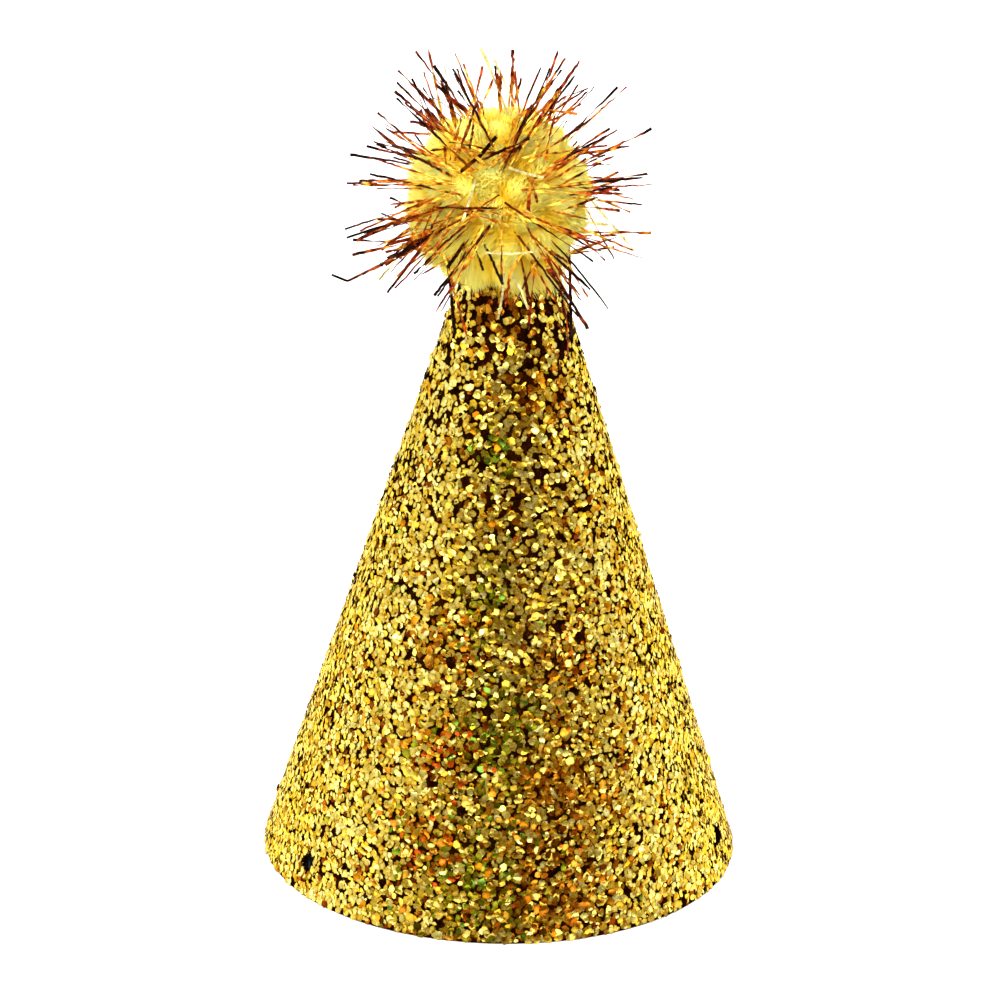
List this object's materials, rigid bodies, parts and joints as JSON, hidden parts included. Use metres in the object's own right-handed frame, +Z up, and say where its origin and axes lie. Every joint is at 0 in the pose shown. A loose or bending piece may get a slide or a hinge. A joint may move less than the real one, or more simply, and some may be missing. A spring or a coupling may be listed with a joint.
{
  "type": "party hat",
  "caption": "Cone party hat of rolled card faced with coarse gold glitter, with a plush and tinsel pompom on its tip and punched holes for a chin cord.",
  "frame": {"origin": "centre of the rim circle, in the plane that the rim rests on", "axes": "+Z up the cone's axis towards the pompom, -Y towards the front, away from the seam"},
  "size_m": [0.0998, 0.0998, 0.1687],
  "materials": {
    "card": "matte",
    "glitter": "gloss",
    "glue": "satin",
    "thread": "matte",
    "plush": "matte",
    "tinsel": "gloss"
  },
  "bodies": {
    "root": {"card_cone": "card", "glitter_face": "glitter", "seam_glue": "glue", "glue_plug": "glue", "pompom_tie": "thread", "pompom_plush": "plush", "tinsel_bunch_01": "tinsel", "tinsel_bunch_02": "tinsel", "tinsel_bunch_03": "tinsel", "tinsel_bunch_04": "tinsel", "tinsel_bunch_05": "tinsel", "tinsel_bunch_06": "tinsel", "tinsel_bunch_07": "tinsel", "tinsel_bunch_08": "tinsel", "tinsel_bunch_09": "tinsel", "tinsel_bunch_10": "tinsel", "tinsel_bunch_11": "tinsel", "tinsel_bunch_12": "tinsel", "tinsel_bunch_13": "tinsel", "tinsel_bunch_14": "tinsel", "tinsel_bunch_15": "tinsel", "tinsel_bunch_16": "tinsel", "tinsel_bunch_17": "tinsel", "tinsel_bunch_18": "tinsel", "tinsel_bunch_19": "tinsel", "tinsel_bunch_20": "tinsel", "tinsel_bunch_21": "tinsel", "tinsel_bunch_22": "tinsel", "tinsel_bunch_23": "tinsel", "tinsel_bunch_24": "tinsel", "tinsel_bunch_25": "tinsel", "tinsel_bunch_26": "tinsel", "tinsel_bunch_27": "tinsel", "tinsel_bunch_28": "tinsel", "tinsel_bunch_29": "tinsel", "tinsel_bunch_30": "tinsel", "tinsel_bunch_31": "tinsel", "tinsel_bunch_32": "tinsel", "tinsel_bunch_33": "tinsel", "tinsel_bunch_34": "tinsel", "tinsel_bunch_35": "tinsel"}
  },
  "joints": []
}
